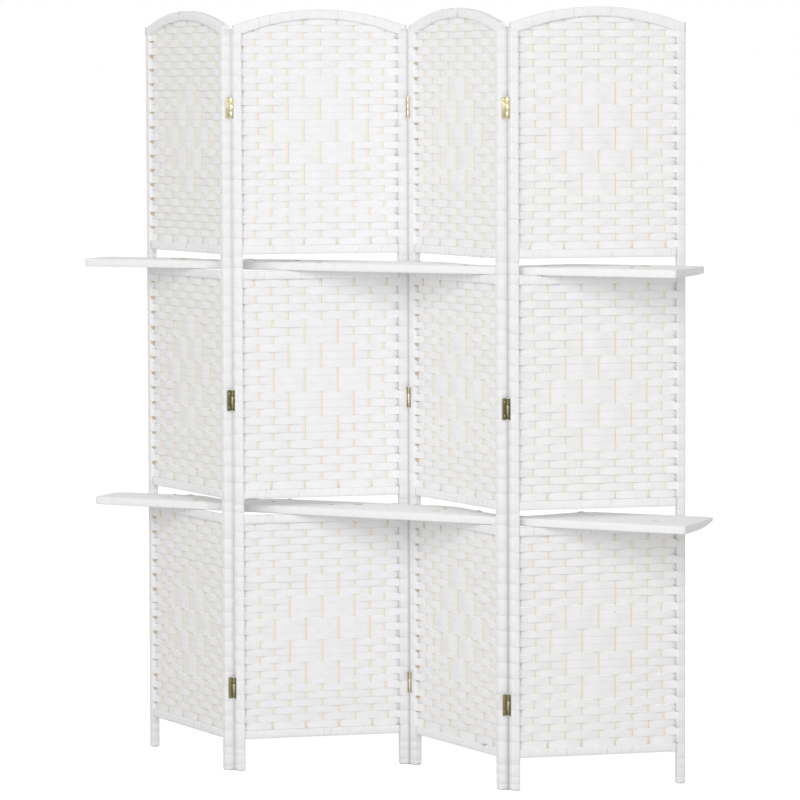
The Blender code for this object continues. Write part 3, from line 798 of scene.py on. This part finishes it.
# The plating's darkness: tarnish, together with painted reflection, highlight and shade
brass_tarnish_and_light = brass_nodes.new("ShaderNodeAttribute")
brass_tarnish_and_light.attribute_name = "tarnish_and_painted_light"
brass_patch = brass_nodes.new("ShaderNodeMapRange")
brass_patch.inputs["To Min"].default_value = -0.16
brass_patch.inputs["To Max"].default_value = 0.16
brass_sum = brass_nodes.new("ShaderNodeMath")
brass_sum.operation = "ADD"
brass_tone = brass_nodes.new("ShaderNodeValToRGB")
brass_tone.color_ramp.elements[0].position = 0.0
brass_tone.color_ramp.elements[0].color = (0.93, 0.88, 0.68, 1.0)
brass_tone.color_ramp.elements[1].position = 1.0
brass_tone.color_ramp.elements[1].color = (0.17, 0.165, 0.085, 1.0)
middle_tone = brass_tone.color_ramp.elements.new(0.5)
middle_tone.color = (0.50, 0.45, 0.25, 1.0)
brass_gloss = brass_nodes.new("ShaderNodeMapRange")
brass_gloss.inputs["To Min"].default_value = 0.22
brass_gloss.inputs["To Max"].default_value = 0.50
brass_links.new(brass_place.outputs["Object"], brass_cloud.inputs["Vector"])
brass_links.new(brass_cloud.outputs["Fac"], brass_patch.inputs["Value"])
brass_links.new(brass_patch.outputs["Result"], brass_sum.inputs[0])
brass_links.new(brass_tarnish_and_light.outputs["Fac"], brass_sum.inputs[1])
brass_links.new(brass_sum.outputs["Value"], brass_tone.inputs["Fac"])
brass_links.new(brass_sum.outputs["Value"], brass_gloss.inputs["Value"])
brass_links.new(brass_tone.outputs["Color"], brass_surface.inputs["Base Color"])
brass_links.new(brass_gloss.outputs["Result"], brass_surface.inputs["Roughness"])


def box_tube(out, side, up, bevel):
    """A box with rounded edges as six rings of points: each ring is a rounded rectangle
    in the plane of out and side, and the rings shrink by the bevel at the box's ends."""
    angle = (np.arange(around) + 0.5) / around * 2 * np.pi
    sign_out, sign_side = np.sign(np.cos(angle)), np.sign(np.sin(angle))
    rings = []
    for level, shrink in ((up[0], 1.0), (up[0] + bevel * 0.3, 0.3), (up[0] + bevel, 0.0),
                          (up[1] - bevel, 0.0), (up[1] - bevel * 0.3, 0.3), (up[1], 1.0)):
        radius = bevel * (1 - 0.9 * shrink)
        edge_out = sign_out * ((out[1] - out[0]) / 2 - bevel) + radius * np.cos(angle)
        edge_side = sign_side * ((side[1] - side[0]) / 2 - bevel) + radius * np.sin(angle)
        rings.append(np.stack([(out[0] + out[1]) / 2 + edge_out, (side[0] + side[1]) / 2 + edge_side,
                               np.full(around, level)], -1))
    return np.stack(rings)


def round_tube(profile):
    """A turned shape on the pin's line as rings of points: one circle for each level and
    radius of the profile."""
    angle = np.arange(around) / around * 2 * np.pi
    return np.stack([np.stack([pin_side + radius * np.cos(angle), pin_face + radius * np.sin(angle),
                               np.full(around, level)], -1) for level, radius in profile])


def screw_tube(level, side):
    """A round screw head whose line points out of the plate: circles that shrink along
    a dome, from inside the plate to its crown."""
    angle = np.arange(around) / around * 2 * np.pi
    return np.stack([np.stack([np.full(around, leaf_skin[1] + out), side + radius * np.cos(angle),
                               level + radius * np.sin(angle)], -1) for out, radius in dome])


def leaf_tubes(inner, slot_turns, head_darkness):
    """All parts of one leaf, and how dark each part's plating is painted, as tarnish and
    painted light: plate, a tongue and a knuckle for each of its thirds, the inner knuckle
    painted lighter as a highlight, two screws with a dark bar across each as the painted
    shade of its slot, and the pin in the leaf with the end knuckles."""
    gap = 0.0003
    far, near = pin_face - leaf_width, pin_face - knuckle_radius - gap
    tubes = [box_tube(leaf_skin, (far, near), (-hinge_half, hinge_half), 0.0003)]
    tarnish_and_light = [0.0]
    for third in ((1,) if inner else (0, 2)):
        foot = -hinge_half + third * hinge_half * 2 / 3 + gap / 2
        top = foot + hinge_half * 2 / 3 - gap
        tubes.append(box_tube(leaf_skin, (near - 0.0005, pin_face), (foot, top), 0.0002))
        tubes.append(round_tube(((foot, 0.0021), (foot + 0.0001, 0.0023), (foot + 0.0004, knuckle_radius),
                                 (top - 0.0004, knuckle_radius), (top - 0.0001, 0.0023), (top, 0.0021))))
        # An inner knuckle is painted lighter: a painted highlight
        tarnish_and_light += [0.0, -0.45 if inner else 0.1]
    side = (far + near) / 2
    screw_level = hinge_half - 0.008
    # Each screw's slot is a thin dark bar lying across its head: painted shade in place of the slot's
    # hollow
    slot = box_tube((leaf_skin[1] + 0.0002, leaf_skin[1] + 0.00047), (-0.0016, 0.0016),
                    (-0.00025, 0.00025), 0.00005)
    out, v, w = slot[..., 0], slot[..., 1], slot[..., 2]
    for level, slot_turn in zip((-screw_level, screw_level), slot_turns):
        tubes.append(screw_tube(level, side))
        tubes.append(np.stack([out, side + v * math.cos(slot_turn) - w * math.sin(slot_turn),
                               level + v * math.sin(slot_turn) + w * math.cos(slot_turn)], -1))
        tarnish_and_light += [head_darkness, 1.2]
    if not inner:
        tip = hinge_half + 0.0003
        tubes.append(round_tube(((-tip, 0.0004), (-tip + 0.0002, 0.0011), (-tip + 0.0005, 0.0013),
                                 (tip - 0.0005, 0.0013), (tip - 0.0002, 0.0011), (tip, 0.0004))))
        tarnish_and_light.append(0.1)
    return np.stack(tubes), np.array(tarnish_and_light)[:, None, None]


# For the hinge at each level: its name, and how dark its plating and its screws' heads
# # are painted, as tarnish and painted reflection, from pale brass (0 or less) to dark olive (1)
hinge_tarnish_and_light = (("bottom", 0.46, 0.1), ("middle", 0.58, -0.5), ("top", -0.15, 0.5))
for (number, outward), toward in jointed.items():
    label = "right" if outward > 0 else "left"
    # Seen from the front, a hinge's left leaf has the end knuckles and its right leaf the
    #     # inner one; the middle line of hinges is painted lightest
    inner = outward < 0
    line_darkness = 0.18 if inner else 0.0
    if toward < 0:
        line_darkness = -0.35
    for level, (place, level_tarnish_and_light, head_darkness) in zip(hinge_levels, hinge_tarnish_and_light):
        tubes, tarnish_and_light = leaf_tubes(inner, chance.uniform(0, math.pi, 2), head_darkness)
        if outward * toward < 0:
            tubes = tubes[:, :, ::-1]
        # Painted reflection: a hinge is painted darker towards its ends and lighter in its middle
        tarnish_and_light = tarnish_and_light + level_tarnish_and_light + line_darkness + 0.3 * np.clip(np.abs(tubes[..., 2]) / hinge_half, 0, 1) ** 6
        points = np.stack([outward * (half_width + tubes[..., 0]), toward * tubes[..., 1],
                           level + tubes[..., 2]], -1)
        node = f"panel_{number}_{label}_{place}_hinge_leaf"
        leaf = grid_piece(node + "_plate", placed(points, number), {"tarnish_and_painted_light": tarnish_and_light}, brass,
                          f"panel_{number}")
        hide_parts(node)
